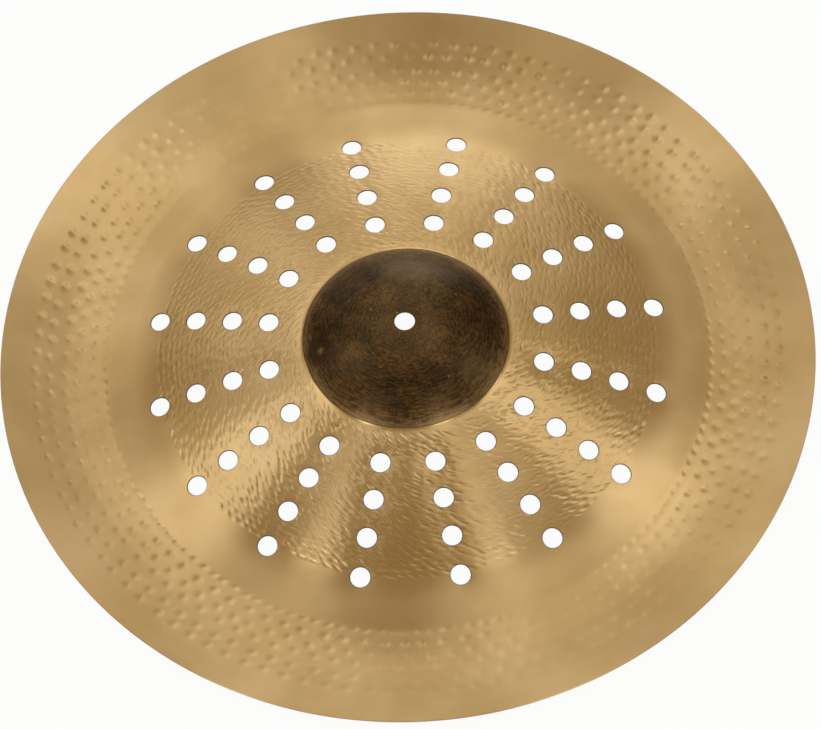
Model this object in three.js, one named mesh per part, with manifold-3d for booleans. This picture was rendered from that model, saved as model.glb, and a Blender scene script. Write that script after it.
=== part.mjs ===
// A china cymbal: one thin disc of cast and hammered bronze, in one piece.
// From the middle outwards it has a centre hole in a flat crown, a domed bell, a fillet, a bow that falls
// away and carries spokes of tone holes, a bend and a flatter cone down to the ring that the cymbal rests
// on, and a flange that turns up again to the rim. Millimetres, +Z up. Z is the disc's axis, and the underside of
// the resting ring lies in the plane z = 0.
import * as THREE from "three";
import { mergeVertices } from "three/addons/utils/BufferGeometryUtils.js";
import Module from "manifold-3d";

// Disc
const DIAMETER = 533.4; // across the rim, a 21 inch cymbal
const WALL = 1.0; // thickness of the bronze

// Crown and bell
const CENTRE_HOLE_DIAMETER = 13.3;
const CROWN_LAND_DIAMETER = 24; // flat that the felt washer sits on, round the centre hole
const BELL_DIAMETER = 135; // at the foot of the bell
const BELL_ROUND_RADIUS = 114.5; // radius of the sphere that the bell is a cap of
const BELL_FILLET_RADIUS = 4; // hollow between the bell and the bow

// Bow, bend and cone, down to the resting ring
const BOW_ROUND_RADIUS = 397; // the bow's own roundness, seen in section
const BEND_ANGLE_DEG = 19.6; // steepest fall, where the bow meets the bend
const BEND_ROUND_RADIUS = 95; // hollow between the bow and the cone
const CONE_ANGLE_DEG = 8.5; // fall of the cone
const CONE_WIDTH = 15.5; // the cone's share of the radius
const REST_ROUND_RADIUS = 30; // hollow between the cone and the resting ring

// Resting ring and flange
const REST_LAND_WIDTH = 5; // flat of the resting ring
const UPTURN_ROUND_RADIUS = 112; // hollow between the resting ring and the flange
const FLANGE_WIDTH = 63.9; // from the middle of the resting ring out to the rim
const FLANGE_ANGLE_DEG = 12.1; // rise of the flange

// Tone holes: rings of holes on spokes that are closer than an equal share of the circle,
// so one gap between two spokes is wider than the others
const TONE_HOLE_DIAMETER = 12.9;
const TONE_RING_START = 23.9; // from the foot of the bell out to the first ring
const TONE_RING_PITCH = 24.7; // from ring to ring
const TONE_RING_MARGIN = 34; // least distance from a hole's centre in to the resting ring
const SPOKE_COUNT = 16;
const SPOKE_PITCH_DEG = 22.36;
const FIRST_SPOKE_DEG = 99.5; // anticlockwise from +X, seen from above

// Cuts
const CUT_OVERRUN = 3; // how far a cutter stands proud of the bronze on each side

// Fineness of the mesh
const TURN_STEPS = 72;
const HOLE_SIDES = 10;
const CROWN_STEPS = 4;
const FILLET_STEPS = 2;
const BOW_STEPS = 3;
const BEND_STEPS = 2;
const REST_BEND_STEPS = 1;
const UPTURN_STEPS = 2;

const BRONZE = { color: 0xb8965f, roughness: 0.35, metalness: 1.0 };

const wasm = await Module();
wasm.setup();

const radians = THREE.MathUtils.degToRad;
const rimRadius = DIAMETER / 2;
const bellRadius = BELL_DIAMETER / 2;
const restRadius = rimRadius - FLANGE_WIDTH;

// A stretch of the top surface is an arc, told by its slope: the point where the surface falls outwards
// at an angle a is the arc's centre plus its reach times (sin a, cos a). The reach is the arc's radius,
// positive on a rounded stretch and negative on a hollow one.
function pointOn(arc, slope) {
  return new THREE.Vector2(
    arc.centre.x + arc.reach * Math.sin(slope),
    arc.centre.y + arc.reach * Math.cos(slope),
  );
}

// The arc that starts at a point with one slope and runs on to another.
function arcFrom(start, reach, startSlope, endSlope) {
  const centre = new THREE.Vector2(
    start.x - reach * Math.sin(startSlope),
    start.y - reach * Math.cos(startSlope),
  );
  return { centre, reach, startSlope, endSlope, end: pointOn({ centre, reach }, endSlope) };
}

// The stretches of the top surface, each tangent to the next, worked out from the resting ring.
function makeStretches() {
  const bendAngle = radians(BEND_ANGLE_DEG);
  const coneAngle = radians(CONE_ANGLE_DEG);
  const halfLand = REST_LAND_WIDTH / 2;
  const landInside = new THREE.Vector2(restRadius - halfLand, WALL);
  const landOutside = new THREE.Vector2(restRadius + halfLand, WALL);
  const upturn = arcFrom(landOutside, -UPTURN_ROUND_RADIUS, 0, -radians(FLANGE_ANGLE_DEG));
  const restBend = arcFrom(landInside, -REST_ROUND_RADIUS, 0, coneAngle);
  const coneRise = new THREE.Vector2(-CONE_WIDTH, CONE_WIDTH * Math.tan(coneAngle));
  const bend = arcFrom(restBend.end.clone().add(coneRise), -BEND_ROUND_RADIUS, coneAngle, bendAngle);

  // The bow ends at the slope from which the fillet just reaches the foot of the bell.
  const footSlopeSine = bellRadius / BELL_ROUND_RADIUS;
  const span = bend.end.x - bellRadius;
  const bowFall = BOW_ROUND_RADIUS * Math.sin(bendAngle);
  const filletFall = BELL_FILLET_RADIUS * footSlopeSine;
  const bowEndSlope = Math.asin((bowFall + filletFall - span) / (BOW_ROUND_RADIUS + BELL_FILLET_RADIUS));
  const footSlope = Math.asin(footSlopeSine);
  const crownSlope = Math.asin(CROWN_LAND_DIAMETER / 2 / BELL_ROUND_RADIUS);
  const bow = arcFrom(bend.end, BOW_ROUND_RADIUS, bendAngle, bowEndSlope);
  const fillet = arcFrom(bow.end, -BELL_FILLET_RADIUS, bowEndSlope, footSlope);
  const bell = arcFrom(fillet.end, BELL_ROUND_RADIUS, footSlope, crownSlope);
  return { bell, fillet, bow, bend, restBend, upturn };
}

const stretches = makeStretches();

// Points of the top surface along one stretch, from its inner end outwards, each with its slope.
function sampleOutwards(arc, steps) {
  const points = [];
  for (let i = 0; i <= steps; i++) {
    const slope = THREE.MathUtils.lerp(arc.endSlope, arc.startSlope, i / steps);
    points.push({ at: pointOn(arc, slope), slope });
  }
  return points;
}

// The top surface from the centre hole to the rim, as points with slopes.
function makeTopLine() {
  const { bell, fillet, bow, bend, restBend, upturn } = stretches;
  const crownHeight = bell.end.y;
  const centreEdge = new THREE.Vector2(CENTRE_HOLE_DIAMETER / 2, crownHeight);
  const flangeSlope = upturn.endSlope;
  const flangeRise = (rimRadius - upturn.end.x) * Math.tan(-flangeSlope);
  const rim = new THREE.Vector2(rimRadius, upturn.end.y + flangeRise);
  return [
    { at: centreEdge, slope: 0 },
    { at: bell.end, slope: 0 },
    ...sampleOutwards(bell, CROWN_STEPS).slice(1),
    ...sampleOutwards(fillet, FILLET_STEPS).slice(1),
    ...sampleOutwards(bow, BOW_STEPS).slice(1),
    ...sampleOutwards(bend, BEND_STEPS).slice(1),
    ...sampleOutwards(restBend, REST_BEND_STEPS),
    ...sampleOutwards(upturn, UPTURN_STEPS).reverse(),
    { at: rim, slope: flangeSlope },
  ];
}

// The point one wall below a point of the top surface, square to it. At the rim it stays on the rim's
// own cylinder, straight below.
function underside({ at, slope }) {
  if (at.x === rimRadius) return new THREE.Vector2(at.x, at.y - WALL / Math.cos(slope));
  return new THREE.Vector2(at.x - WALL * Math.sin(slope), at.y - WALL * Math.cos(slope));
}

// The closed section of the disc, turned once round the axis.
function makeBlank() {
  const top = makeTopLine();
  const bottom = top.map(underside);
  const section = [...bottom, ...top.map((point) => point.at).reverse(), bottom[0]];
  const blank = new THREE.LatheGeometry(section, TURN_STEPS);
  return blank.rotateX(Math.PI / 2);
}

// The height and slope of the top surface at a distance from the axis, on the bow or the bend.
function surfaceAt(radius) {
  const { bow, bend } = stretches;
  const arc = radius > bend.end.x ? bend : bow;
  const slope = Math.asin((radius - arc.centre.x) / arc.reach);
  return { height: pointOn(arc, slope).y, slope };
}

// A cutter for one tone hole, square to the bronze where the hole is.
function makeToneCutter(radius, angle) {
  const { height, slope } = surfaceAt(radius);
  const length = WALL + 2 * CUT_OVERRUN;
  const cutter = new THREE.CylinderGeometry(
    TONE_HOLE_DIAMETER / 2,
    TONE_HOLE_DIAMETER / 2,
    length,
    HOLE_SIDES,
  );
  cutter.rotateX(Math.PI / 2).translate(0, 0, -WALL / 2);
  return cutter.rotateY(slope).translate(radius, 0, height).rotateZ(angle);
}

// All tone hole cutters, spoke by spoke.
function makeToneCutters() {
  const firstRing = bellRadius + TONE_RING_START;
  const lastRing = restRadius - TONE_RING_MARGIN;
  const cutters = [];
  for (let spoke = 0; spoke < SPOKE_COUNT; spoke++) {
    const angle = radians(FIRST_SPOKE_DEG + spoke * SPOKE_PITCH_DEG);
    for (let radius = firstRing; radius <= lastRing; radius += TONE_RING_PITCH) {
      cutters.push(makeToneCutter(radius, angle));
    }
  }
  return cutters;
}

function toSolid(geometry) {
  geometry.deleteAttribute("normal");
  geometry.deleteAttribute("uv");
  const merged = mergeVertices(geometry);
  const mesh = new wasm.Mesh({
    numProp: 3,
    vertProperties: merged.attributes.position.array,
    triVerts: new Uint32Array(merged.index.array),
  });
  return new wasm.Manifold(mesh);
}

function toGeometry(solid) {
  const mesh = solid.getMesh();
  const geometry = new THREE.BufferGeometry();
  geometry.setAttribute("position", new THREE.BufferAttribute(mesh.vertProperties, mesh.numProp));
  geometry.setIndex(new THREE.BufferAttribute(mesh.triVerts, 1));
  geometry.computeVertexNormals();
  return geometry;
}

// The whole cymbal: the turned disc with its tone holes punched out.
function makeCymbal() {
  let solid = toSolid(makeBlank());
  for (const cutter of makeToneCutters()) solid = solid.subtract(toSolid(cutter));
  const mesh = new THREE.Mesh(toGeometry(solid), new THREE.MeshStandardMaterial(BRONZE));
  mesh.name = "cymbal";
  return mesh;
}

const group = new THREE.Group();
group.add(makeCymbal());
export default group;
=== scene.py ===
"""The looks of a china cymbal, laid out as a Blender add-on and run as a script.

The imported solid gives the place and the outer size. The visible bronze is made anew on the same
section, as seven closed rings that meet edge to edge: the raw bell, four rings of the hammered bow
with its tone holes, and two rings of the bend and the hammered flange. Lengths are in metres, angles
in radians unless a comment says degrees, and Z is the disc's axis.
"""

from collections import namedtuple

import bpy
import numpy as np
from bpy.props import FloatProperty, FloatVectorProperty, IntProperty, PointerProperty
from bpy.types import Operator, Panel, PropertyGroup
from mathutils import Matrix, Vector


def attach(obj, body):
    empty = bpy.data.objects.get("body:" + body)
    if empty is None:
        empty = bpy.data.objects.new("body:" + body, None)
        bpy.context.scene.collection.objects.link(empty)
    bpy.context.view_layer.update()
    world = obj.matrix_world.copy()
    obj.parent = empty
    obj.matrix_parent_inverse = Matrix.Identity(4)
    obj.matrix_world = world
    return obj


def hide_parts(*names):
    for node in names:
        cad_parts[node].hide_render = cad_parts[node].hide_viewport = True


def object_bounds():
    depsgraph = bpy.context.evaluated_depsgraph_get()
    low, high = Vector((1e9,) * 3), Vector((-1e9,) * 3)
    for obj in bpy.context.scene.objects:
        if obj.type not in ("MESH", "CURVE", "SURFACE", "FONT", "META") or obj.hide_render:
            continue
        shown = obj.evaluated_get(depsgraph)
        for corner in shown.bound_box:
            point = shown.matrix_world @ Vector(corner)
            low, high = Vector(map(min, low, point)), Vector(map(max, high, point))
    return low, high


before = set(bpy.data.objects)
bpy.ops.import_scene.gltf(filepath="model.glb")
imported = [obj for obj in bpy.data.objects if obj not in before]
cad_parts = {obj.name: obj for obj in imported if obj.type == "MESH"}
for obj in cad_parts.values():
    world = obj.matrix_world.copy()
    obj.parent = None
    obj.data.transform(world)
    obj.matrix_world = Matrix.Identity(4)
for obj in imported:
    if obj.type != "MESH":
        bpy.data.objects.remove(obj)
CAD_BOX = [list(corner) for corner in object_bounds()]
RIM_RADIUS = CAD_BOX[1][0]
CROWN_HEIGHT = CAD_BOX[1][2]

bl_info = {
    "name": "China cymbal",
    "version": (1, 0, 0),
    "blender": (4, 5, 0),
    "location": "View3D > Sidebar > Cymbal",
    "description": "Makes a hammered bronze china cymbal with a raw bell and tone holes",
    "category": "Add Mesh",
}


# Values that a user would change

def length(name, default, description):
    return FloatProperty(name=name, default=default, description=description, unit="LENGTH", precision=5)


def angle(name, default, description):
    return FloatProperty(name=name, default=np.radians(default), description=description, unit="ROTATION")


def colour(name, default, description):
    return FloatVectorProperty(
        name=name, default=default, description=description, subtype="COLOR", size=3, min=0, max=1
    )


def count(name, default, description):
    return IntProperty(name=name, default=default, description=description, min=1)


class CymbalForm(PropertyGroup):
    """Sizes of the disc's section and of its holes."""

    wall: length("Wall", 0.001, "Thickness of the bronze")
    centre_hole: length("Centre hole", 0.0133, "Diameter of the hole for the stand")
    crown_land: length("Crown land", 0.024, "Diameter of the flat round the centre hole")
    bell_width: length("Bell", 0.135, "Diameter of the bell at its foot")
    bell_round: length("Bell roundness", 0.1145, "Radius of the sphere that the bell is a cap of")
    fillet_round: length("Fillet", 0.004, "Radius of the hollow round the bell")
    bow_round: length("Bow roundness", 0.397, "Radius of the bow's section")
    bend_angle: angle("Bend angle", 19.6, "Steepest fall, where the bow meets the bend")
    bend_round: length("Bend", 0.095, "Radius of the hollow below the bow")
    cone_angle: angle("Cone angle", 8.5, "Fall of the straight stretch below the bend")
    cone_width: length("Cone width", 0.0155, "Width of the straight stretch below the bend")
    rest_round: length("Rest roundness", 0.03, "Radius of the hollow just inside the resting ring")
    rest_land: length("Rest land", 0.005, "Width of the flat of the resting ring")
    upturn_round: length("Upturn", 0.112, "Radius of the hollow just outside the resting ring")
    flange_width: length("Flange", 0.0639, "From the middle of the resting ring to the rim")
    flange_angle: angle("Flange angle", 12.1, "Rise of the flange")
    edge_break: length("Edge break", 0.0002, "Width of the broken edges of the rim and the centre hole")
    hole_break: length("Hole edge break", 0.00045, "Width of the broken edges of the tone holes")
    tone_hole: length("Tone hole", 0.0129, "Diameter of a tone hole")
    ring_start: length("First ring", 0.0239, "From the bell's foot to the first ring of holes")
    ring_pitch: length("Ring pitch", 0.0247, "From ring to ring")
    ring_count: count("Rings", 4, "Tone holes on a spoke")
    spoke_count: count("Spokes", 16, "Spokes of tone holes")
    spoke_pitch: angle("Spoke pitch", 22.36, "From spoke to spoke")
    first_spoke: angle("First spoke", 99.5, "Anticlockwise from +X, seen from above")


class CymbalHammering(PropertyGroup):
    """The marks of the hammer."""

    seed: count("Seed", 7, "Start of the random spread of the blows")
    bow_start: length("Bow start", 0.0720, "Radius of the innermost row of blows")
    bow_end: length("Bow end", 0.1628, "Radius of the outermost row of blows on the bow")
    bow_row_pitch: length("Outer bow rows", 0.0037, "From row to row at the bow's outer edge")
    bow_inner_pitch: length("Inner bow rows", 0.0018, "From row to row at the bow's inner edge")
    bow_blow_pitch: length("Bow blows", 0.0072, "From blow to blow in a row on the bow")
    bow_blow_length: length("Bow blow length", 0.0046, "Half the length of a blow's mark on the bow")
    bow_blow_width: length("Bow blow width", 0.0013, "Half the width of a blow's mark on the bow")
    bow_blow_depth: length("Bow blow depth", 0.000105, "Depth of a blow's mark in the bow's middle")
    bow_blow_turn: angle("Outer bow turn", 15, "Turn of a mark outwards, at the outer edge")
    bow_inner_turn: angle("Inner bow turn", 30, "Turn of a mark outwards, at the inner edge")
    flange_blow_length: length("Flange blow length", 0.0047, "Half the length of a mark on the flange")
    flange_blow_width: length("Flange blow width", 0.0037, "Half the width of a mark on the flange")
    flange_blow_depth: length("Flange blow depth", 0.00030, "Depth of a blow's mark on the flange")
    sway: length("Sway", 0.00012, "Height of the slow unevenness that hammering leaves")
    dish_depth: length("Dish depth", 0.00022, "How far the sheet sinks at the edge of a tone hole")
    dish_reach: length("Dish reach", 0.0070, "Distance over which the sheet rises again round a hole")
    dish_inner: FloatProperty(name="Inner dish", default=1.5,
                              description="Extra share of the dish's depth at the innermost holes")


class CymbalFinish(PropertyGroup):
    """Colours of the bronze."""

    bronze: colour("Bronze", (0.557, 0.416, 0.214), "Turned bell bronze")
    bronze_dull: colour("Dull bronze", (0.462, 0.330, 0.150), "Turned bronze where it has dulled")
    # Cut bronze darkened as painted shade: it makes the dark line round each tone hole
    cut: colour("Cut bronze", (0.05, 0.042, 0.03), "Walls and edges of the tone holes")
    skin: colour("Raw skin", (0.044, 0.0268, 0.0103), "Casting skin on the bell")
    skin_warm: colour("Warm skin", (0.089, 0.0475, 0.0160), "Reddish patches in the casting skin")
    skin_olive: colour("Olive skin", (0.071, 0.0475, 0.0172), "Yellowish clouds in the casting skin")
    skin_worn: colour("Worn skin", (0.30, 0.205, 0.095), "Skin worn to bronze at the bell's foot")


class CymbalStage(PropertyGroup):
    """Camera and light."""

    distance: length("Distance", 2.9577, "From the camera to the point that it looks at")
    elevation: angle("Elevation", 60.429, "Camera's height as an angle")
    roll: angle("Roll", 4.093, "Turn of the camera about its line of sight")
    shift_right: length("Right", 0.00175, "Camera's offset to its right")
    shift_up: length("Up", -0.016023, "Camera's offset up")
    target_height: length("Target height", 0.02623, "Height of the point that the camera looks at")
    lens: FloatProperty(name="Lens", default=199.05, description="Focal length in millimetres")
    floor: colour("Floor", (0.86, 0.86, 0.86), "Floor and backdrop")


# The section of the disc. A stretch of it lies between two radii: an arc with its centre and its reach,
# or a line with the height at its inner end and the fall over each metre.
Arc = namedtuple("Arc", "inner outer centre_radius centre_height reach")
Line = namedtuple("Line", "inner outer height fall")

# How far past its end a stretch still counts, against rounding
SLACK = 1e-9


def arc_from(radius, height, reach, slope):
    """Centre of the arc that passes a point at a slope, as (radius, height): the point, less the
    reach times the slope's sine across and times its cosine up."""
    return radius - reach * np.sin(slope), height - reach * np.cos(slope)


def lay_out_section(form):
    """The stretches of the top surface, worked out from the resting ring and tangent to each other.

    An arc falls outwards at slope a where the radius is centre + reach sin a, and is centre + reach
    cos a high there. Its reach is the arc's radius, negative where the surface is hollow.
    """
    rest = RIM_RADIUS - form.flange_width
    half_land = form.rest_land / 2
    foot = form.bell_width / 2
    top = form.wall
    rest_line = Line(rest - half_land, rest + half_land, top, 0)

    centre = arc_from(rest - half_land, top, -form.rest_round, 0)
    cone_end = centre[0] - form.rest_round * np.sin(form.cone_angle)
    rest_bend = Arc(cone_end, rest - half_land, *centre, -form.rest_round)
    cone_start = cone_end - form.cone_width
    height = centre[1] - form.rest_round * np.cos(form.cone_angle)
    height += form.cone_width * np.tan(form.cone_angle)
    cone = Line(cone_start, cone_end, height, np.tan(form.cone_angle))

    centre = arc_from(cone_start, height, -form.bend_round, form.cone_angle)
    bend_start = centre[0] - form.bend_round * np.sin(form.bend_angle)
    bend = Arc(bend_start, cone_start, *centre, -form.bend_round)
    height = centre[1] - form.bend_round * np.cos(form.bend_angle)

    foot_sine = foot / form.bell_round
    span = bend_start - foot
    fall = form.bow_round * np.sin(form.bend_angle) + form.fillet_round * foot_sine
    bow_sine = (fall - span) / (form.bow_round + form.fillet_round)
    centre = arc_from(bend_start, height, form.bow_round, form.bend_angle)
    bow_start = centre[0] + form.bow_round * bow_sine
    bow = Arc(bow_start, bend_start, *centre, form.bow_round)
    height = centre[1] + form.bow_round * np.cos(np.arcsin(bow_sine))

    centre = arc_from(bow_start, height, -form.fillet_round, np.arcsin(bow_sine))
    fillet = Arc(foot, bow_start, *centre, -form.fillet_round)
    height = centre[1] - form.fillet_round * np.cos(np.arcsin(foot_sine))

    centre = arc_from(foot, height, form.bell_round, np.arcsin(foot_sine))
    land = form.crown_land / 2
    bell = Arc(land, foot, *centre, form.bell_round)
    crown = Line(0, land, centre[1] + np.sqrt(form.bell_round ** 2 - land ** 2), 0)

    centre = arc_from(rest + half_land, top, -form.upturn_round, 0)
    flange_start = centre[0] + form.upturn_round * np.sin(form.flange_angle)
    upturn = Arc(rest + half_land, flange_start, *centre, -form.upturn_round)
    height = centre[1] - form.upturn_round * np.cos(form.flange_angle)
    flange = Line(flange_start, RIM_RADIUS, height, -np.tan(form.flange_angle))
    return [crown, bell, fillet, bow, bend, cone, rest_bend, rest_line, upturn, flange]


def top_at(section, radius):
    """Height and slope of the bare top surface at each radius. On a line the height falls evenly.
    On an arc the slope's sine is the distance from the centre over the reach, and the height is the
    centre's plus the reach times the slope's cosine."""
    height = np.zeros_like(radius)
    slope = np.zeros_like(radius)
    for stretch in section:
        here = (radius >= stretch.inner) & (radius <= stretch.outer + SLACK)
        if isinstance(stretch, Line):
            height[here] = stretch.height - stretch.fall * (radius[here] - stretch.inner)
            slope[here] = np.arctan(stretch.fall)
        else:
            sine = (radius[here] - stretch.centre_radius) / stretch.reach
            height[here] = stretch.centre_height + stretch.reach * np.sqrt(1 - sine ** 2)
            slope[here] = np.arcsin(sine)
    return height, slope


# The marks of the hammer

Row = namedtuple("Row", "radius blows phase depth half_length half_width turn pointed jitter")

# How the depth of the blows varies round the disc: share, turns in a round, and the angle in degrees
# anticlockwise from +X at which it is greatest
BOW_VARIATION = (0.28, 1, 125)
FLANGE_VARIATION = (0.42, 2, 16)

# Spread of the blows: along the row in pitches, across it in widths, of the depth as a share of it
# with a limit, and of the turn
ALONG_SPREAD = 0.13
ACROSS_SPREAD = 0.10
DEPTH_SPREAD = 0.30
DEPTH_SPREAD_LIMIT = 0.8
TURN_SPREAD = 0.14

# On the bow: growth of the depth from the outer edge inwards, its growth from the middle to both
# edges, and growth of the spread inwards
BOW_DEPTH_INWARDS = 0.3
BOW_DEPTH_AT_EDGES = 0.6
BOW_SPREAD_INWARDS = 0.6

# On the flange: share of the usual spread, and how far a row's start strays from the others, in pitches
FLANGE_SPREAD = 0.5
FLANGE_STRAY = 0.2

# Rows of blows on the flange: share of its width in from the rim, number of blows, turn of a mark in
# degrees outwards from its row, shares of the depth, of the length and of the width, and whether it
# is pointed
FLANGE_ROWS = (
    (0.360, 113, -18, 1.0, 1.0, 1.0, True),
    (0.501, 109, -15, 1.0, 1.0, 1.0, True),
    (0.665, 104, -6, 0.9, 1.0, 1.0, True),
    (0.787, 104, -6, 0.9, 1.0, 1.0, True),
    (0.920, 100, -14, 0.9, 1.0, 1.0, True),
    (1.052, 151, -14, 0.60, 0.87, 0.55, False),
)


def lay_out_blows(form, marks):
    """All rows of hammer blows, each with a seeded spread in place, depth and turn, and a wave of the
    depth round the disc.

    On the bow the depth grows evenly inwards, and by the cube of the distance from the middle towards
    both edges. On the flange the rows start at nearly the same angle, so their marks line up.
    """
    rng = np.random.default_rng(marks.seed)
    rows = []

    def add_row(radius, pitch, phase, depth, half_length, half_width, turn, pointed, spread, variation):
        blows = int(round(2 * np.pi * radius / pitch))
        share, turns, peak = variation
        place = phase + np.arange(blows) * 2 * np.pi / blows
        jitter = np.column_stack([
            rng.normal(0, ALONG_SPREAD * spread, blows) * pitch,
            rng.normal(0, ACROSS_SPREAD * spread, blows) * half_width * 2,
            np.clip(rng.normal(0, DEPTH_SPREAD * spread, blows), -DEPTH_SPREAD_LIMIT, DEPTH_SPREAD_LIMIT)
            + share * np.cos(turns * (place - np.radians(peak))),
            rng.normal(0, TURN_SPREAD * spread, blows),
        ])
        rows.append(Row(radius, blows, phase, depth, half_length, half_width, turn, pointed, jitter))

    radius = marks.bow_end
    while radius > marks.bow_start:
        inner_share = (marks.bow_end - radius) / (marks.bow_end - marks.bow_start)
        turn = marks.bow_blow_turn + (marks.bow_inner_turn - marks.bow_blow_turn) * inner_share
        growth = BOW_DEPTH_INWARDS * inner_share + BOW_DEPTH_AT_EDGES * abs(2 * inner_share - 1) ** 3
        depth = marks.bow_blow_depth * (1 + growth)
        add_row(radius, marks.bow_blow_pitch, rng.uniform(0, 2 * np.pi), depth, marks.bow_blow_length,
                marks.bow_blow_width, turn, False, 1 + BOW_SPREAD_INWARDS * inner_share, BOW_VARIATION)
        radius -= marks.bow_row_pitch + (marks.bow_inner_pitch - marks.bow_row_pitch) * inner_share

    aligned = rng.uniform(0, 2 * np.pi)
    for share, blows, turn, deep, long, wide, pointed in FLANGE_ROWS:
        radius = RIM_RADIUS - share * form.flange_width
        phase = aligned + rng.normal(0, FLANGE_STRAY) * 2 * np.pi / blows
        add_row(radius, 2 * np.pi * radius / blows, phase, marks.flange_blow_depth * deep,
                marks.flange_blow_length * long, marks.flange_blow_width * wide,
                np.radians(turn), pointed, FLANGE_SPREAD, FLANGE_VARIATION)
    return rows


# A pit's round core as a share of its radius, and how far from its row a mark reaches, in half lengths
PIT_CORE = 0.25
BLOW_REACH = 1.3


def dent(square, pointed):
    """Depth of one blow as a share, from the square of the distance in radii: one in the middle, and
    level from one radius out. A stroke is (1 - square) squared. A pointed pit falls by the square of
    the distance in from its edge, with a small round core."""
    if not pointed:
        return np.clip(1 - square, 0, None) ** 2
    out = np.sqrt(np.clip(square, 0, 1) * (1 - PIT_CORE ** 2) + PIT_CORE ** 2)
    return ((1 - out) / (1 - PIT_CORE)) ** 2


def blows_at(rows, radius, theta):
    """Height of the hammered surface over the bare section: at each point the deepest of the blows
    that reach it, each a shallow round or long dent."""
    relief = np.zeros_like(radius)
    for row in rows:
        reach = BLOW_REACH * max(row.half_length, row.half_width)
        near = np.abs(radius - row.radius) < reach
        if not near.any():
            continue
        r_near, t_near = radius[near], theta[near]
        step = 2 * np.pi / row.blows
        nearest = np.round((t_near - row.phase) / step).astype(int)
        deepest = np.zeros_like(r_near)
        for side in (-1, 0, 1):
            blow = (nearest + side) % row.blows
            along = (t_near - row.phase - (nearest + side) * step) * row.radius
            along = along - row.jitter[blow, 0]
            across = r_near - row.radius - row.jitter[blow, 1]
            turn = row.turn + row.jitter[blow, 3]
            turned_along = along * np.cos(turn) + across * np.sin(turn)
            turned_across = across * np.cos(turn) - along * np.sin(turn)
            square = (turned_along / row.half_length) ** 2 + (turned_across / row.half_width) ** 2
            deepest = np.maximum(deepest, dent(square, row.pointed) * (1 + row.jitter[blow, 2]))
        relief[near] = np.minimum(relief[near], -row.depth * deepest)
    return relief


def ring_radius(form, ring):
    """Radius of a ring of tone holes, counted from the innermost, or with a half between two."""
    return form.bell_width / 2 + form.ring_start + ring * form.ring_pitch


def dish_at(form, marks, radius, theta):
    """Sinking of the sheet round the punched holes of the nearest three spokes: at each a depth that
    fades by the same share over each step away from its edge. The extra depth of the inner holes falls
    by the cube of the way out."""
    total = np.zeros_like(radius)
    spoke = np.round(((theta - form.first_spoke) % (2 * np.pi)) / form.spoke_pitch)
    for side in (-1, 0, 1):
        turn = theta - form.first_spoke - ((spoke + side) % form.spoke_count) * form.spoke_pitch
        out, across = radius * np.cos(turn), radius * np.sin(turn)
        for ring in range(form.ring_count):
            away = np.hypot(out - ring_radius(form, ring), across) - form.tone_hole / 2
            share = 1 + marks.dish_inner * (1 - ring / form.ring_count) ** 3
            total += share * np.exp(-np.maximum(away, 0) / marks.dish_reach)
    return -marks.dish_depth * total


# Waves of the sway: turns round the disc, waves per metre across it, phase, share of the height
SWAY_SHARES = (
    (3, 9.0, 0.4, 0.30),
    (5, 14.0, 2.1, 0.25),
    (11, 21.0, 4.0, 0.16),
    (17, 33.0, 1.2, 0.12),
    (29, 40.0, 5.3, 0.07),
)

# Where the sway fades: the radius at the bell, distances inside and outside the resting ring, widths
SWAY_START = 0.072
SWAY_INSIDE_REST = 0.012
SWAY_OUTSIDE_REST = 0.008
SWAY_FADE = 0.02
SWAY_REST_FADE = 0.012


def fade(distance, width):
    """A share that rises evenly from none at no distance to all at the width."""
    return np.clip(distance / width, 0, 1)


def sway_at(form, marks, radius, theta):
    """Slow unevenness: a sum of waves, faded out at the bell, at the resting ring and at the rim. It
    only lowers the sheet, by none to all of the height."""
    total = np.zeros_like(radius)
    for turns, waves, phase, share in SWAY_SHARES:
        total += share * np.sin(turns * theta + 2 * np.pi * waves * radius + phase)
    rest = RIM_RADIUS - form.flange_width
    inner = fade(radius - SWAY_START, SWAY_FADE) * fade(rest - SWAY_INSIDE_REST - radius, SWAY_FADE)
    outer = fade(radius - rest - SWAY_OUTSIDE_REST, SWAY_REST_FADE) * fade(RIM_RADIUS - radius, SWAY_FADE)
    return -marks.sway * (0.5 + 0.5 * total) * (inner + outer)


# Meshes

SHARP_ANGLE = np.radians(32)


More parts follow.
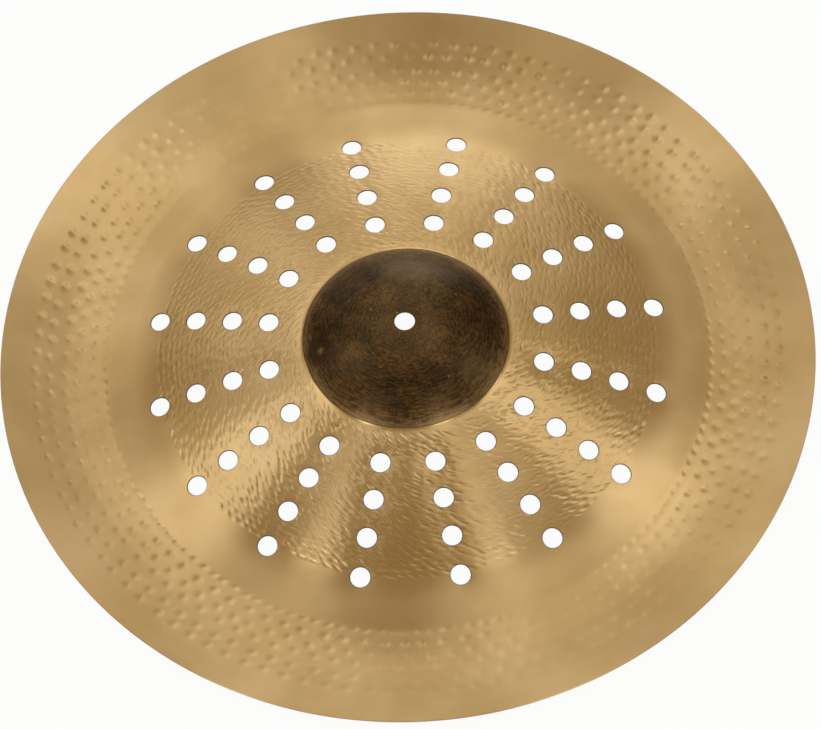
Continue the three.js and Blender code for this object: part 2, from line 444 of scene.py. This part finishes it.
class Skin:
    """Collects the points and faces of one closed piece."""

    def __init__(self):
        self.points = []
        self.quads = []
        self.triangles = []
        self.quad_paints = []
        self.triangle_paints = []
        self.count = 0

    def add(self, points):
        """Adds an array of points and returns their numbers in an array of the same layout."""
        flat = points.reshape(-1, 3)
        numbers = np.arange(self.count, self.count + len(flat)).reshape(points.shape[:-1])
        self.points.append(flat)
        self.count += len(flat)
        return numbers

    def add_quads(self, a, b, c, d, flip=False, paint=0):
        corners = (d, c, b, a) if flip else (a, b, c, d)
        self.quads.append(np.stack([np.ravel(corner) for corner in corners], axis=1))
        self.quad_paints.append(np.full(np.size(a), paint))

    def add_band(self, first, second, flip=False, paint=0):
        """Quads between two closed loops with as many points."""
        self.add_quads(first, np.roll(first, -1), np.roll(second, -1), second, flip, paint)

    def add_halving_band(self, fine, coarse, flip=False, paint=0):
        """A band from a closed loop to one with half as many points, every second one opposite."""
        even, odd, after = fine[0::2], fine[1::2], np.roll(fine[0::2], -1)
        corners = (coarse, odd, even) if flip else (even, odd, coarse)
        self.triangles.append(np.stack(corners, axis=1))
        self.triangle_paints.append(np.full(len(coarse), paint))
        self.add_quads(odd, after, np.roll(coarse, -1), coarse, flip, paint)

    def make_object(self, name, materials):
        """A mesh object of all points and faces, smooth but for its sharp edges."""
        points = np.concatenate(self.points)
        quads = np.concatenate(self.quads)
        triangles = np.concatenate(self.triangles)
        corners = np.concatenate([quads.ravel(), triangles.ravel()])
        totals = np.concatenate([np.full(len(quads), 4), np.full(len(triangles), 3)])
        starts = np.concatenate([[0], np.cumsum(totals)[:-1]])
        mesh = bpy.data.meshes.new(name)
        mesh.vertices.add(len(points))
        mesh.vertices.foreach_set("co", points.astype(np.float32).ravel())
        mesh.loops.add(len(corners))
        mesh.loops.foreach_set("vertex_index", corners.astype(np.int32))
        mesh.polygons.add(len(totals))
        mesh.polygons.foreach_set("loop_start", starts.astype(np.int32))
        mesh.polygons.foreach_set("loop_total", totals.astype(np.int32))
        mesh.polygons.foreach_set("use_smooth", np.ones(len(totals), bool))
        paints = np.concatenate(self.quad_paints + self.triangle_paints)
        mesh.polygons.foreach_set("material_index", paints.astype(np.int32))
        mesh.update(calc_edges=True)
        mesh.validate()
        mesh.set_sharp_from_angle(angle=SHARP_ANGLE)
        for material in materials:
            mesh.materials.append(material)
        made = bpy.data.objects.new(name, mesh)
        bpy.context.scene.collection.objects.link(made)
        return made


class Bronze:
    """The hammered sheet with its values: places points on its top and on its underside."""

    def __init__(self, scene):
        self.form = scene.cymbal_form
        self.marks = scene.cymbal_hammering
        self.finish = scene.cymbal_finish
        self.section = lay_out_section(self.form)
        self.rows = lay_out_blows(self.form, self.marks)

    def place(self, radius, theta, sink, below):
        """Points on the sheet. Each is the section's point moved along its normal: on the top by the
        blows, the sway and the dish less the sink, and on the underside by half the blows, the sway,
        the dish and the sink less the wall. None lies past the rim, the crown or the resting ring."""
        height, slope = top_at(self.section, radius)
        blows = blows_at(self.rows, radius, theta)
        bent = sway_at(self.form, self.marks, radius, theta)
        bent = bent + dish_at(self.form, self.marks, radius, theta)
        if below:
            offset = bent + blows / 2 + sink - self.form.wall
        else:
            offset = bent + blows - sink
        out = np.minimum(radius + offset * np.sin(slope), RIM_RADIUS)
        up = np.clip(height + offset * np.cos(slope), 0, CROWN_HEIGHT)
        return np.stack([out * np.cos(theta), out * np.sin(theta), up], axis=-1)


# Width of the patch of mesh beside a tone hole, and where its loops lie, as shares of the way in
HOLE_MARGIN = 0.0024
PATCH_SHARES = (0.25, 0.47, 0.66, 0.81, 0.92, 1.0)


def nearest_even(number):
    """Twice the whole number nearest to half of it."""
    return 2 * int(round(number / 2))


def hole_block(form, radii, columns, hole_radius, hole_angle):
    """The block of grid cells that a tone hole's own patch takes the place of: its first and last
    row, and its first and last column. All four are even, so that they are on the coarse grid."""
    reach = form.tone_hole / 2 + HOLE_MARGIN
    step = 2 * np.pi / columns
    rows = np.flatnonzero((radii > hole_radius - reach) & (radii < hole_radius + reach))
    middle, wide = hole_angle / step, reach / hole_radius / step
    return [nearest_even(edge) for edge in (rows[0], rows[-1], middle - wide, middle + wide)]


def block_border(block, columns, stride):
    """Row and column numbers round a block, anticlockwise seen from above, on every stride-th line."""
    bottom, top, left, right = block
    along = np.arange(left, right, stride)
    out = np.arange(bottom, top, stride)
    rows = np.concatenate([out, np.full(len(along), top), top - (out - bottom),
                           np.full(len(along), bottom)])
    cols = np.concatenate([np.full(len(out), left), along, np.full(len(out), right),
                           right - (along - left)])
    return rows, cols % columns


def ring_solid(name, bronze, materials, radii, columns, holes, inner_break, outer_break):
    """A closed ring of the sheet. The top is a grid of rows round the disc and columns across it,
    the underside is the same grid with every second line, and walls close it at both ends, where the
    sheet is thinner by its broken edges. An even number of rows gets one more, because the underside
    needs the last.

    Each hole takes out a block of cells. A patch fills the block up to the hole: its points lie
    between the block's border and a circle, on lines that meet in the hole's middle."""
    form = bronze.form
    skin = Skin()
    if len(radii) % 2 == 0:
        radii = np.insert(radii, -2, (radii[-3] + radii[-2]) / 2)
    sinks = np.zeros(len(radii))
    sinks[[0, -1]] = inner_break, outer_break
    theta = np.arange(columns) * 2 * np.pi / columns
    blocks = [(hole, hole_block(form, radii, columns, *hole)) for hole in holes]
    grids = []
    loops = {}
    for below, stride in ((False, 1), (True, 2)):
        rows, cols = radii[::stride], theta[::stride]
        r_grid, t_grid = np.meshgrid(rows, cols, indexing="ij")
        s_grid = np.broadcast_to(sinks[::stride, None], r_grid.shape)
        grid = skin.add(bronze.place(r_grid, t_grid, s_grid, below))
        grids.append(grid)
        kept = np.ones((len(rows) - 1, len(cols)), bool)
        for _, block in blocks:
            first_row, last_row, first, last = (edge // stride for edge in block)
            kept[first_row:last_row, np.arange(first, last) % len(cols)] = False
        beside = np.roll(grid, -1, axis=1)
        skin.add_quads(grid[:-1][kept], grid[1:][kept], beside[1:][kept], beside[:-1][kept], below)
        for hole, block in blocks:
            border_rows, border_cols = block_border(block, columns, stride)
            border = grid[border_rows // stride, border_cols // stride]
            loop = add_patch(skin, bronze, hole, border, radii[border_rows], theta[border_cols], below)
            loops.setdefault(hole, []).append(loop)
    for top_loop, low_loop in loops.values():
        skin.add_halving_band(top_loop, low_loop, paint=1)
    top, underside = grids
    skin.add_halving_band(top[0], underside[0])
    skin.add_halving_band(top[-1], underside[-1], flip=True)
    return skin.make_object(name, materials)


def add_patch(skin, bronze, hole, border, border_radius, border_theta, below):
    """Fills a block of the grid round a hole, and returns the loop at the top of the hole's wall."""
    hole_radius, hole_angle = hole
    form = bronze.form
    slope = top_at(bronze.section, np.array([hole_radius]))[1][0]
    turn = border_theta - hole_angle
    out = border_radius * np.cos(turn) - hole_radius
    across = border_radius * np.sin(turn)
    facing = np.arctan2(across, out / np.cos(slope))
    size = form.tone_hole / 2

    def circle(radius, sink, share):
        """Points a share of the way from the border to a circle round the hole."""
        to_out = out + (radius * np.cos(facing) * np.cos(slope) - out) * share
        to_across = across + (radius * np.sin(facing) - across) * share
        far = np.hypot(hole_radius + to_out, to_across)
        bearing = hole_angle + np.arctan2(to_across, hole_radius + to_out)
        return skin.add(bronze.place(far, bearing, sink, below))

    last = border
    for share in PATCH_SHARES:
        loop = circle(size + form.hole_break, 0.0, share)
        skin.add_band(last, loop, below)
        last = loop
    wall = circle(size, form.hole_break, 1.0)
    skin.add_band(last, wall, below, paint=1)
    return wall


# A widest step that is longer than any stretch, and the share of a step that rounding may add
ONE_STEP = 1
STEP_SLACK = 1e-6


def steps(*stops):
    """Radii between stops. Each stop is (radius, widest step up to the next stop), and a stretch
    between two is cut evenly."""
    radii = []
    for (start, step), (end, _) in zip(stops, stops[1:]):
        number = max(1, int(np.ceil((end - start) / step - STEP_SLACK)))
        radii.append(np.linspace(start, end, number, endpoint=False))
    return np.concatenate(radii + [[stops[-1][0]]])


def tone_holes(form):
    """Radius and angle of each tone hole."""
    return [
        (ring_radius(form, ring), form.first_spoke + spoke * form.spoke_pitch)
        for spoke in range(form.spoke_count)
        for ring in range(form.ring_count)
    ]


def put_in_place(piece):
    """Puts a finished piece on the disc's body in place of the plain solid."""
    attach(piece, "root")
    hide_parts("cymbal")


# Materials

class Nodes:
    """Short calls to build a node tree."""

    def __init__(self, name):
        self.material = bpy.data.materials.new(name)
        self.material.use_nodes = True
        self.tree = self.material.node_tree
        self.tree.nodes.clear()

    def add(self, kind, sockets=None, **settings):
        """A node with its settings, and with a value or a link in each socket by name or number."""
        node = self.tree.nodes.new(kind)
        for key, value in settings.items():
            setattr(node, key, value)
        for key, value in (sockets or {}).items():
            self.plug(node.inputs[key], value)
        return node

    def plug(self, socket, value):
        if isinstance(value, bpy.types.NodeSocket):
            self.tree.links.new(value, socket)
        elif value is not None:
            socket.default_value = value

    def maths(self, operation, first, second=None, third=None):
        return self.add("ShaderNodeMath", {0: first, 1: second, 2: third}, operation=operation).outputs[0]

    def vector(self, operation, first, second=None):
        node = self.add("ShaderNodeVectorMath", {0: first, 1: second}, operation=operation)
        return node.outputs["Value" if operation in ("LENGTH", "DISTANCE") else "Vector"]

    def combine(self, x, y, z):
        return self.add("ShaderNodeCombineXYZ", {0: x, 1: y, 2: z}).outputs[0]

    def noise(self, vector, scale, detail, roughness=0.5):
        sockets = {"Vector": vector, "Scale": scale, "Detail": detail, "Roughness": roughness}
        return self.add("ShaderNodeTexNoise", sockets).outputs["Fac"]

    def remap(self, value, low, high, to_low=0.0, to_high=1.0):
        sockets = {0: value, 1: low, 2: high, 3: to_low, 4: to_high}
        return self.add("ShaderNodeMapRange", sockets, interpolation_type="SMOOTHSTEP").outputs[0]

    def mix(self, share, first, second, blend="MIX"):
        node = self.add("ShaderNodeMix", {"Factor": share}, data_type="RGBA", blend_type=blend)
        for name, value in (("A", first), ("B", second)):
            socket = [s for s in node.inputs if s.name == name and s.type == "RGBA"][0]
            self.plug(socket, value if isinstance(value, bpy.types.NodeSocket) else (*value, 1.0))
        return [s for s in node.outputs if s.type == "RGBA"][0]

    def ramps(self, value, stops):
        """Sum of remaps of one value."""
        total = self.remap(value, *stops[0])
        for stop in stops[1:]:
            total = self.maths("ADD", total, self.remap(value, *stop))
        return total

    def scaled(self, tint, factor):
        """A colour times a number."""
        return self.mix(1.0, tint, self.combine(factor, factor, factor), "MULTIPLY")

    def bump(self, height, strength, distance):
        sockets = {"Strength": strength, "Distance": distance, "Height": height}
        return self.add("ShaderNodeBump", sockets).outputs[0]

    def finish(self, shader, sockets):
        """Puts a shader on the surface, and returns the material."""
        self.add("ShaderNodeOutputMaterial", {0: self.add(shader, sockets).outputs[0]})
        return self.material


def disc_coordinates(nodes):
    """Distance from the axis, and the direction across the disc, from object coordinates."""
    place = nodes.add("ShaderNodeTexCoord").outputs["Object"]
    parts = nodes.add("ShaderNodeSeparateXYZ", {0: place}).outputs
    flat = nodes.combine(parts[0], parts[1], 0.0)
    radius = nodes.vector("LENGTH", flat)
    direction = nodes.vector("NORMALIZE", flat)
    return place, radius, direction


def turned_noise(nodes, radius, direction, round_scale, across_scale, detail):
    """Noise drawn out round the disc, as a turning tool leaves it: its coordinates are the direction
    times a small scale and the radius times a large one."""
    parts = nodes.add("ShaderNodeSeparateXYZ", {0: direction}).outputs
    x = nodes.maths("MULTIPLY", parts[0], round_scale)
    y = nodes.maths("MULTIPLY", parts[1], round_scale)
    z = nodes.maths("MULTIPLY", radius, across_scale)
    return nodes.noise(nodes.combine(x, y, z), 1.0, detail)


# Painted light and shade across the disc: the colour of the metal and of the skin scaled by radius where
# light and shade fall, as ramps that are summed: radii where a ramp starts and ends, and its height at
# each
BRONZE_PAINTED_LIGHT = (
    (0.0770, 0.0700, 1.0, 1.14),
    (0.150, 0.166, 0.0, 0.05),
    (0.214, 0.236, 0.0, -0.07),
)
# Painted sheen on the skin: brighter at the crown, and brighter still towards the foot as a painted
# reflection of the bow
SKIN_PAINTED_SHEEN = (
    (0.036, 0.044, 1.22, 1.0),
    (0.055, 0.060, 0.0, 0.4),
)

# Noises of the bronze: for lines the scale round the disc, the scale across it and the detail, and for
# clouds and specks the scale and the detail
FINE_LINES = (0.8, 2600.0, 3.0)
COARSE_LINES = (0.7, 420.0, 2.0)
BRONZE_CLOUDS = (14.0, 3.0)
CUT_SPECKS = (2400.0, 2.0)

# The part of a noise's range that the bronze uses, shares of lines and clouds in the dulling, the
# roughness along the fine lines, and how bright the dark specks of the cut bronze are
NOISE_RANGE = (0.3, 0.7)
COARSE_SHARE = 0.08
CLOUD_SHARE = 0.92
BRONZE_ROUGHNESS = (0.2672, 0.2728)
CUT_DARKER = 0.6


def make_turned_bronze(finish):
    """Bell bronze turned on a lathe: gloss stretched outwards, fine lines in roughness and bump, a slow
    dulling in clouds and faint lines, and painted light and shade by radius: brighter round the bell and
    past the bow, a little darker towards the rim."""
    nodes = Nodes("turned_bronze")
    place, radius, direction = disc_coordinates(nodes)
    fine = turned_noise(nodes, radius, direction, *FINE_LINES)
    coarse = turned_noise(nodes, radius, direction, *COARSE_LINES)
    cloud = nodes.noise(place, *BRONZE_CLOUDS)
    dull = nodes.maths("ADD", nodes.maths("MULTIPLY", coarse, COARSE_SHARE),
                       nodes.maths("MULTIPLY", cloud, CLOUD_SHARE))
    tint = nodes.mix(nodes.remap(dull, *NOISE_RANGE), finish.bronze, finish.bronze_dull)
    # Painted light and shade: the colour is scaled by radius, brighter round the bell and past the bow,
    # darker towards the rim
    tint = nodes.scaled(tint, nodes.ramps(radius, BRONZE_PAINTED_LIGHT))
    outwards = nodes.add("ShaderNodeVectorTransform", {0: direction}, vector_type="VECTOR",
                         convert_from="OBJECT", convert_to="WORLD").outputs[0]
    return nodes.finish("ShaderNodeBsdfPrincipled", {
        "Base Color": tint,
        "Metallic": 1.0,
        "Roughness": nodes.remap(fine, *NOISE_RANGE, *BRONZE_ROUGHNESS),
        "Anisotropic": 1.0,
        "Tangent": outwards,
        "Normal": nodes.bump(fine, strength=0.004, distance=0.00003),
    })


# Noises of the casting skin, given like the bronze's, two of them with their roughness last
ROUND_SCRATCHES = (11.0, 900.0, 4.0)
LONG_SCRATCHES = (3.0, 2200.0, 2.0)
CROSS_SCRATCHES = (55.0, 75.0, 4.0)
SKIN_GRAIN = (900.0, 4.0, 0.7)
SKIN_BLOTCHES = (45.0, 6.0, 0.65)
SKIN_CLOUDS = (18.0, 2.0)

# Shares of the three kinds of scratches and of the grain, and how far the clouds push the scratches
SCRATCH_SHARES = (0.4, 0.2, 0.15, 0.25)
SCRATCH_WANDER = 0.004

# Ramps of the noises: the values where each starts and ends, and where given its height at both
WARM_BLOTCHES = (0.38, 0.68)
OLIVE_CLOUDS = (0.45, 0.7, 0.0, 0.6)
SCRATCH_BRIGHTNESS = (0.43, 0.58, 0.58, 1.5)
SCRATCH_ROUGHNESS = (0.42, 0.6, 0.28, 0.42)
SPECK_CHOICE = (0.93, 0.95)
SPECK_EDGE = (0.16, 0.08)

# Ramps of the radius at the bell's foot with how ragged the worn one is, and ramps of the distance
# from the smudge
FOOT_RAGGED = 0.02
WORN_FOOT = (0.0605, 0.0690, 0.0, 0.7)
DARK_FOOT = (0.0668, 0.0673)
SMUDGE_PLACE = (-0.0555, -0.0095, 0.036)
SMUDGE_INSIDE = (0.001, 0.004)
SMUDGE_OUTSIDE = (0.015, 0.006)
SMUDGE_MIDDLE = (0.0035, 0.0005, 0.0, 0.45)
DARK_SHARE = 0.6
DARK_SKIN = (0.02, 0.012, 0.006)
SPECK_SHARE = 0.5
SPECK_COLOUR = (0.5, 0.38, 0.22)


def make_raw_skin(finish):
    """Casting skin on the bell: dark oxide, warm in patches and worn to bronze at the foot, with scratches
    round the bell and in all directions, bright specks, a smudge and a dark line at the edge, and a
    painted sheen, brighter at the crown and towards the foot."""
    nodes = Nodes("raw_skin")
    place, radius, direction = disc_coordinates(nodes)
    blotch = nodes.noise(place, *SKIN_BLOTCHES)
    cloud = nodes.noise(place, *SKIN_CLOUDS)
    grain = nodes.noise(place, *SKIN_GRAIN)
    wander = nodes.maths("ADD", radius, nodes.maths("MULTIPLY", cloud, SCRATCH_WANDER))
    round_scratch = turned_noise(nodes, wander, direction, *ROUND_SCRATCHES)
    long_scratch = turned_noise(nodes, wander, direction, *LONG_SCRATCHES)
    cross_scratch = turned_noise(nodes, radius, direction, *CROSS_SCRATCHES)
    scratch = 0.0
    for part, share in zip((round_scratch, long_scratch, cross_scratch, grain), SCRATCH_SHARES):
        scratch = nodes.maths("MULTIPLY_ADD", part, share, scratch)
    tint = nodes.mix(nodes.remap(blotch, *WARM_BLOTCHES), finish.skin, finish.skin_warm)
    tint = nodes.mix(nodes.remap(cloud, *OLIVE_CLOUDS), tint, finish.skin_olive)
    tint = nodes.scaled(tint, nodes.remap(scratch, *SCRATCH_BRIGHTNESS))
    # Painted sheen: the skin is brighter at the crown and towards the foot, in place of the dome's
    # highlight and the bow's reflection
    tint = nodes.scaled(tint, nodes.ramps(radius, SKIN_PAINTED_SHEEN))

    ragged = nodes.maths("MULTIPLY_ADD", nodes.maths("SUBTRACT", scratch, 0.5), FOOT_RAGGED, radius)
    tint = nodes.mix(nodes.remap(ragged, *WORN_FOOT), tint, finish.skin_worn)
    smudge = nodes.vector("DISTANCE", place, SMUDGE_PLACE)
    inside, outside = nodes.remap(smudge, *SMUDGE_INSIDE), nodes.remap(smudge, *SMUDGE_OUTSIDE)
    tint = nodes.mix(nodes.remap(smudge, *SMUDGE_MIDDLE), tint, finish.skin_worn)
    ring = nodes.maths("MULTIPLY", inside, outside)
    dark = nodes.maths("MAXIMUM", ring, nodes.remap(radius, *DARK_FOOT))
    tint = nodes.mix(nodes.maths("MULTIPLY", dark, DARK_SHARE), tint, DARK_SKIN)

    grains = nodes.add("ShaderNodeTexVoronoi", {"Vector": place, "Scale": 230.0}).outputs
    chosen = nodes.add("ShaderNodeSeparateColor", {0: grains["Color"]}).outputs[0]
    few = nodes.remap(chosen, *SPECK_CHOICE)
    speck = nodes.maths("MULTIPLY", few, nodes.remap(grains["Distance"], *SPECK_EDGE))
    tint = nodes.mix(nodes.maths("MULTIPLY", speck, SPECK_SHARE), tint, SPECK_COLOUR)
    return nodes.finish("ShaderNodeBsdfPrincipled", {
        "Base Color": tint,
        "Metallic": 0.85,
        "Roughness": nodes.remap(scratch, *SCRATCH_ROUGHNESS),
        "Normal": nodes.bump(scratch, strength=0.6, distance=0.0001),
    })


def make_cut_edges_and_shade(finish):
    """Punched walls and broken edges of the tone holes: dull cut bronze with a faint speckle, darkened as
    painted shade inside the holes.
    """
    nodes = Nodes("cut_bronze")
    place = nodes.add("ShaderNodeTexCoord").outputs["Object"]
    speck = nodes.noise(place, *CUT_SPECKS)
    darker = tuple(CUT_DARKER * part for part in finish.cut)
    tint = nodes.mix(nodes.remap(speck, *NOISE_RANGE), finish.cut, darker)
    sockets = {"Base Color": tint, "Metallic": 0.5, "Roughness": 0.55}
    return nodes.finish("ShaderNodeBsdfPrincipled", sockets)


# How much of the floor's white glows by itself
FLOOR_GLOW = 0.95


def make_floor_white(tint):
    """A pale surface that the camera, gloss and glass see as near white, with a faint shadow."""
    nodes = Nodes("floor_white")
    matt = nodes.add("ShaderNodeBsdfDiffuse", {"Color": (*tint, 1.0)}).outputs[0]
    shine = nodes.add("ShaderNodeEmission", {"Color": (1.0, 1.0, 1.0, 1.0)}).outputs[0]
    rays = nodes.add("ShaderNodeLightPath").outputs
    seen = nodes.maths("MAXIMUM", rays["Is Camera Ray"], rays["Is Glossy Ray"])
    seen = nodes.maths("MAXIMUM", seen, rays["Is Transmission Ray"])
    share = nodes.maths("MULTIPLY", seen, FLOOR_GLOW)
    return nodes.finish("ShaderNodeMixShader", {0: share, 1: matt, 2: shine})


# The bell's mesh: widest steps on the crown's flat, on the dome and in a narrow band at the foot
CROWN_STEP = 0.0012
BELL_STEP = 0.0009
FOOT_STEP = 0.0003
FOOT_BAND = 0.0006
BELL_COLUMNS = 480

# The bow's mesh: widest step and columns of the ring round each ring of holes, end of the marks, and
# where the bow's last ring ends with the widest step up to there
BOW_MESH = ((0.00048, 880), (0.00044, 1200), (0.00046, 1320), (0.00046, 1320))
BOW_MARKS_END = 0.1662
BOW_OUTER = 0.178
BOW_OUTER_STEP = 0.0012

# The flange's mesh: start of the marks by the resting ring, split between its two rings, end of the
# pits, and width of a narrow band at the rim
MARKS_START = 0.1935
FLANGE_SPLIT = 0.21215
PITS_END = 0.2485
RIM_BAND = 0.0016
FLANGE_INNER_COLUMNS = 1440
FLANGE_OUTER_COLUMNS = 1400


# Operators, one for each piece or group of like pieces and one for the stage

class CYMBAL_OT_bell(Operator):
    """Make the raw bell with its centre hole"""

    bl_idname = "cymbal.make_bell"
    bl_label = "Bell"

    def execute(self, context):
        bronze = Bronze(context.scene)
        form = bronze.form
        hole = form.centre_hole / 2
        foot = form.bell_width / 2
        radii = steps((hole, ONE_STEP), (hole + form.edge_break, CROWN_STEP),
                      (form.crown_land / 2, BELL_STEP), (foot - FOOT_BAND, FOOT_STEP), (foot, ONE_STEP))
        skins = [make_raw_skin(bronze.finish)]
        bell = ring_solid("bell", bronze, skins, radii, BELL_COLUMNS, [], form.edge_break, 0)
        put_in_place(bell)
        return {"FINISHED"}


class CYMBAL_OT_bow(Operator):
    """Make the hammered bow with its tone holes, as four rings with a ring of holes each"""

    bl_idname = "cymbal.make_bow"
    bl_label = "Bow"

    def execute(self, context):
        bronze = Bronze(context.scene)
        form = bronze.form
        foot = form.bell_width / 2
        for ring, (step, columns) in enumerate(BOW_MESH):
            stops = [(ring_radius(form, ring - 0.5), step), (ring_radius(form, ring + 0.5), ONE_STEP)]
            if ring == 0:
                stops[:1] = [(foot, FOOT_STEP), (foot + FOOT_BAND, step)]
            if ring == len(BOW_MESH) - 1:
                stops[1:] = [(BOW_MARKS_END, BOW_OUTER_STEP), (BOW_OUTER, ONE_STEP)]
            radii = steps(*stops)
            holes = [hole for hole in tone_holes(form) if radii[0] < hole[0] < radii[-1]]
            put_bronze_ring(f"bow_{ring + 1}", bronze, radii, columns, holes, 0)
        return {"FINISHED"}


class CYMBAL_OT_flange(Operator):
    """Make the bend, the hammered flange and the rim, as two rings"""

    bl_idname = "cymbal.make_flange"
    bl_label = "Flange"

    def execute(self, context):
        bronze = Bronze(context.scene)
        edge_break = bronze.form.edge_break
        inner = steps((BOW_OUTER, 0.0018), (MARKS_START, 0.0008), (FLANGE_SPLIT, ONE_STEP))
        put_bronze_ring("flange_inner", bronze, inner, FLANGE_INNER_COLUMNS, [], 0)
        outer = steps((FLANGE_SPLIT, 0.00095), (PITS_END, 0.002), (RIM_RADIUS - RIM_BAND, 0.0005),
                      (RIM_RADIUS - edge_break, ONE_STEP), (RIM_RADIUS, ONE_STEP))
        put_bronze_ring("flange_outer", bronze, outer, FLANGE_OUTER_COLUMNS, [], edge_break)
        return {"FINISHED"}


def put_bronze_ring(name, bronze, radii, columns, holes, outer_break):
    """One ring of turned bronze with its tone holes, in place on the disc."""
    made = bpy.data.materials.get
    skins = [made("turned_bronze") or make_turned_bronze(bronze.finish),
             made("cut_bronze") or make_cut_edges_and_shade(bronze.finish)]
    put_in_place(ring_solid(name, bronze, skins, radii, columns, holes, 0, outer_break))


class CYMBAL_OT_stage(Operator):
    """Make the floor, the lights and the camera"""

    bl_idname = "cymbal.make_stage"
    bl_label = "Stage"

    def execute(self, context):
        scene = context.scene
        make_floor(scene.cymbal_stage)
        make_lights(scene)
        make_camera(scene)
        scene.view_settings.view_transform = "Standard"
        return {"FINISHED"}


FLOOR_REACH = 6.0


def make_floor(stage):
    """A square floor at the height of the resting ring."""
    near, far = -FLOOR_REACH, FLOOR_REACH
    mesh = bpy.data.meshes.new("floor")
    mesh.from_pydata([(near, near, 0), (far, near, 0), (far, far, 0), (near, far, 0)], [], [(0, 1, 2, 3)])
    mesh.materials.append(make_floor_white(stage.floor))
    floor = bpy.data.objects.new("floor", mesh)
    bpy.context.scene.collection.objects.link(floor)


# Softboxes on a sphere round the cymbal: azimuth and elevation in degrees, width and height in metres,
# strength. Azimuth 90 is behind the cymbal, seen from the camera.
SOFTBOXES = (
    (294, 45, 0.81, 1.61, 0.30),
    (299, 42, 0.52, 1.63, 1.80),
    (304, 27, 1.18, 1.46, 1.00),
    (226, 42, 0.40, 1.70, 2.90),
    (84, 18, 0.88, 0.56, 1.40),
    (84, 14, 1.46, 0.69, 0.90),
    (78, 14, 1.36, 0.31, 1.00),
    (115, 24, 0.44, 0.33, 1.00),
    (106, 29, 2.09, 1.46, 0.27),
    (82, 50, 1.40, 1.63, 0.55),
    (112, 55, 0.66, 1.05, 0.63),
    (128, 72, 0.26, 0.70, 1.50),
    (128, 48, 0.26, 0.50, 1.15),
    (53, 73, 0.51, 1.03, 1.57),
    (37, 66, 1.16, 0.31, 0.65),
    (165, 56, 0.45, 0.93, 2.20),
    (160, 36, 0.38, 0.89, 0.90),
    (180, 41, 0.31, 1.74, 0.90),
    (359, 46, 0.47, 1.39, 1.85),
)
SOFTBOX_DISTANCE = 2.5
WORLD_COLOUR = (1.0, 0.75, 0.44, 1.0)
WORLD_STRENGTH = 0.40


def make_lights(scene):
    """Softboxes on a sphere round the cymbal, each as strong as its size times its strength, and a
    warm even world."""
    for number, (azimuth, elevation, wide, high, strength) in enumerate(SOFTBOXES):
        lamp = bpy.data.lights.new(f"softbox_{number}", "AREA")
        lamp.shape = "RECTANGLE"
        lamp.size = wide
        lamp.size_y = high
        lamp.energy = strength * wide * high * np.pi
        box = bpy.data.objects.new(f"softbox_{number}", lamp)
        azimuth, elevation = np.radians(azimuth), np.radians(elevation)
        level = np.cos(elevation)
        away = Vector((np.cos(azimuth) * level, np.sin(azimuth) * level, np.sin(elevation)))
        box.location = away * SOFTBOX_DISTANCE
        box.rotation_euler = away.to_track_quat("Z", "Y").to_euler()
        scene.collection.objects.link(box)
    world = bpy.data.worlds.new("studio")
    world.use_nodes = True
    world.node_tree.nodes["Background"].inputs[0].default_value = WORLD_COLOUR
    world.node_tree.nodes["Background"].inputs[1].default_value = WORLD_STRENGTH
    scene.world = world


# Width of the camera's sensor in millimetres, and how far it sees
SENSOR_WIDTH = 36.0
SIGHT = 50.0


def make_camera(scene):
    """The camera stands at an elevation in front of the disc, rolled about its line of sight."""
    stage = scene.cymbal_stage
    lens = bpy.data.cameras.new("camera")
    lens.lens = stage.lens
    lens.sensor_width = SENSOR_WIDTH
    lens.clip_end = SIGHT
    back = Vector((0, -np.cos(stage.elevation), np.sin(stage.elevation)))
    right = Vector((1, 0, 0))
    up = back.cross(right)
    target = Vector((0, 0, stage.target_height))
    place = target + back * stage.distance + right * stage.shift_right + up * stage.shift_up
    turned_right = right * np.cos(stage.roll) - up * np.sin(stage.roll)
    turned_up = right * np.sin(stage.roll) + up * np.cos(stage.roll)
    turn = Matrix((turned_right, turned_up, back)).transposed()
    camera = bpy.data.objects.new("camera", lens)
    camera.matrix_world = Matrix.Translation(place) @ turn.to_4x4()
    scene.collection.objects.link(camera)
    scene.camera = camera


class CYMBAL_PT_panel(Panel):
    """Lists the cymbal's operators and values"""

    bl_idname = "CYMBAL_PT_panel"
    bl_label = "China cymbal"
    bl_space_type = "VIEW_3D"
    bl_region_type = "UI"
    bl_category = "Cymbal"

    def draw(self, context):
        for operator in OPERATORS:
            self.layout.operator(operator.bl_idname)
        for name in GROUPS:
            group = getattr(context.scene, name)
            box = self.layout.box()
            for key in group.bl_rna.properties.keys():
                if key not in ("rna_type", "name"):
                    box.prop(group, key)


OPERATORS = (CYMBAL_OT_stage, CYMBAL_OT_bell, CYMBAL_OT_bow, CYMBAL_OT_flange)
GROUPS = {
    "cymbal_form": CymbalForm,
    "cymbal_hammering": CymbalHammering,
    "cymbal_finish": CymbalFinish,
    "cymbal_stage": CymbalStage,
}
CLASSES = (*GROUPS.values(), *OPERATORS, CYMBAL_PT_panel)


def register():
    for item in CLASSES:
        bpy.utils.register_class(item)
    for name, group in GROUPS.items():
        setattr(bpy.types.Scene, name, PointerProperty(type=group))


def unregister():
    for name in GROUPS:
        delattr(bpy.types.Scene, name)
    for item in reversed(CLASSES):
        bpy.utils.unregister_class(item)


def main():
    """Makes the cymbal on its stage."""
    register()
    bpy.ops.cymbal.make_stage()
    bpy.ops.cymbal.make_bell()
    bpy.ops.cymbal.make_bow()
    bpy.ops.cymbal.make_flange()


if __name__ == "__main__":
    main()
